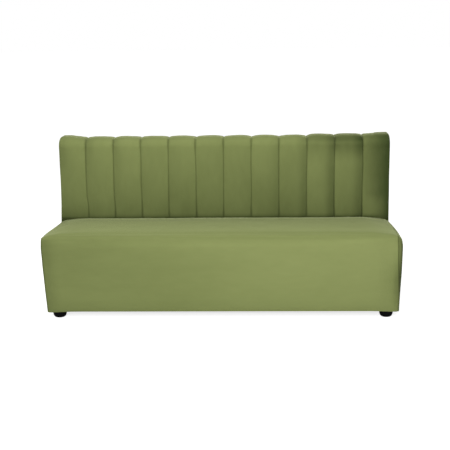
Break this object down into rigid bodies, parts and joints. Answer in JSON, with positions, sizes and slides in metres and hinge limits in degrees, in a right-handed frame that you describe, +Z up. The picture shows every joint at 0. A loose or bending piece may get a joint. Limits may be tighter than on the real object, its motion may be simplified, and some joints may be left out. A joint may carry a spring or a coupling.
{
  "type": "upholstered banquette",
  "caption": "Straight armless dining banquette: a crowned velvet box seat screwed to an upright channelled velvet back, standing on low black feet.",
  "frame": {"origin": "on the floor, under the middle of the box that holds the whole piece", "axes": "+Z up, the seat faces -Y, +X to the right of someone who faces the seat's front"},
  "size_m": [1.8402, 0.64, 0.875],
  "materials": {
    "velvet": "short olive-green pile",
    "foam": "cut open-cell foam",
    "wadding": "loose polyester fibre",
    "felt": "needled recycled felt",
    "webbing": "woven elastic",
    "dust_cloth": "matt spunbond",
    "softwood": "planed, bare",
    "plywood": "sanded, bare",
    "hardboard": "smooth, bare",
    "black_plastic": "moulded, satin",
    "steel": "zinc plated"
  },
  "bodies": {
    "root": {"back_board": "plywood", "back_cover": "velvet", "back_foot_rail": "softwood", "back_lower_rail": "softwood", "back_seat_rail": "softwood", "back_top_rail": "softwood", "back_upright_1": "plywood", "back_upright_2": "plywood", "back_upright_3": "plywood", "back_upright_4": "plywood", "channel_pad_01": "foam", "channel_pad_02": "foam", "channel_pad_03": "foam", "channel_pad_04": "foam", "channel_pad_05": "foam", "channel_pad_06": "foam", "channel_pad_07": "foam", "channel_pad_08": "foam", "channel_pad_09": "foam", "channel_pad_10": "foam", "channel_pad_11": "foam", "channel_pad_12": "foam", "coach_screws": "steel", "coach_washers": "steel", "cross_webbing": "webbing", "dust_cover": "dust_cloth", "foot_screws": "steel", "front_feet": "black_plastic", "front_foam": "foam", "left_foam": "foam", "long_webbing": "webbing", "rear_board": "hardboard", "rear_cover": "velvet", "rear_feet": "black_plastic", "right_foam": "foam", "seat_centre_sill": "softwood", "seat_cover": "velvet", "seat_felt": "felt", "seat_foam": "foam", "seat_front_board": "hardboard", "seat_front_posts": "softwood", "seat_front_rail": "softwood", "seat_front_sill": "softwood", "seat_glue_blocks": "softwood", "seat_left_board": "hardboard", "seat_left_rail": "softwood", "seat_left_sill": "softwood", "seat_rear_posts": "softwood", "seat_rear_rail": "softwood", "seat_rear_sill": "softwood", "seat_right_board": "hardboard", "seat_right_rail": "softwood", "seat_right_sill": "softwood", "seat_stretcher": "softwood", "seat_wadding": "wadding"}
  },
  "joints": []
}
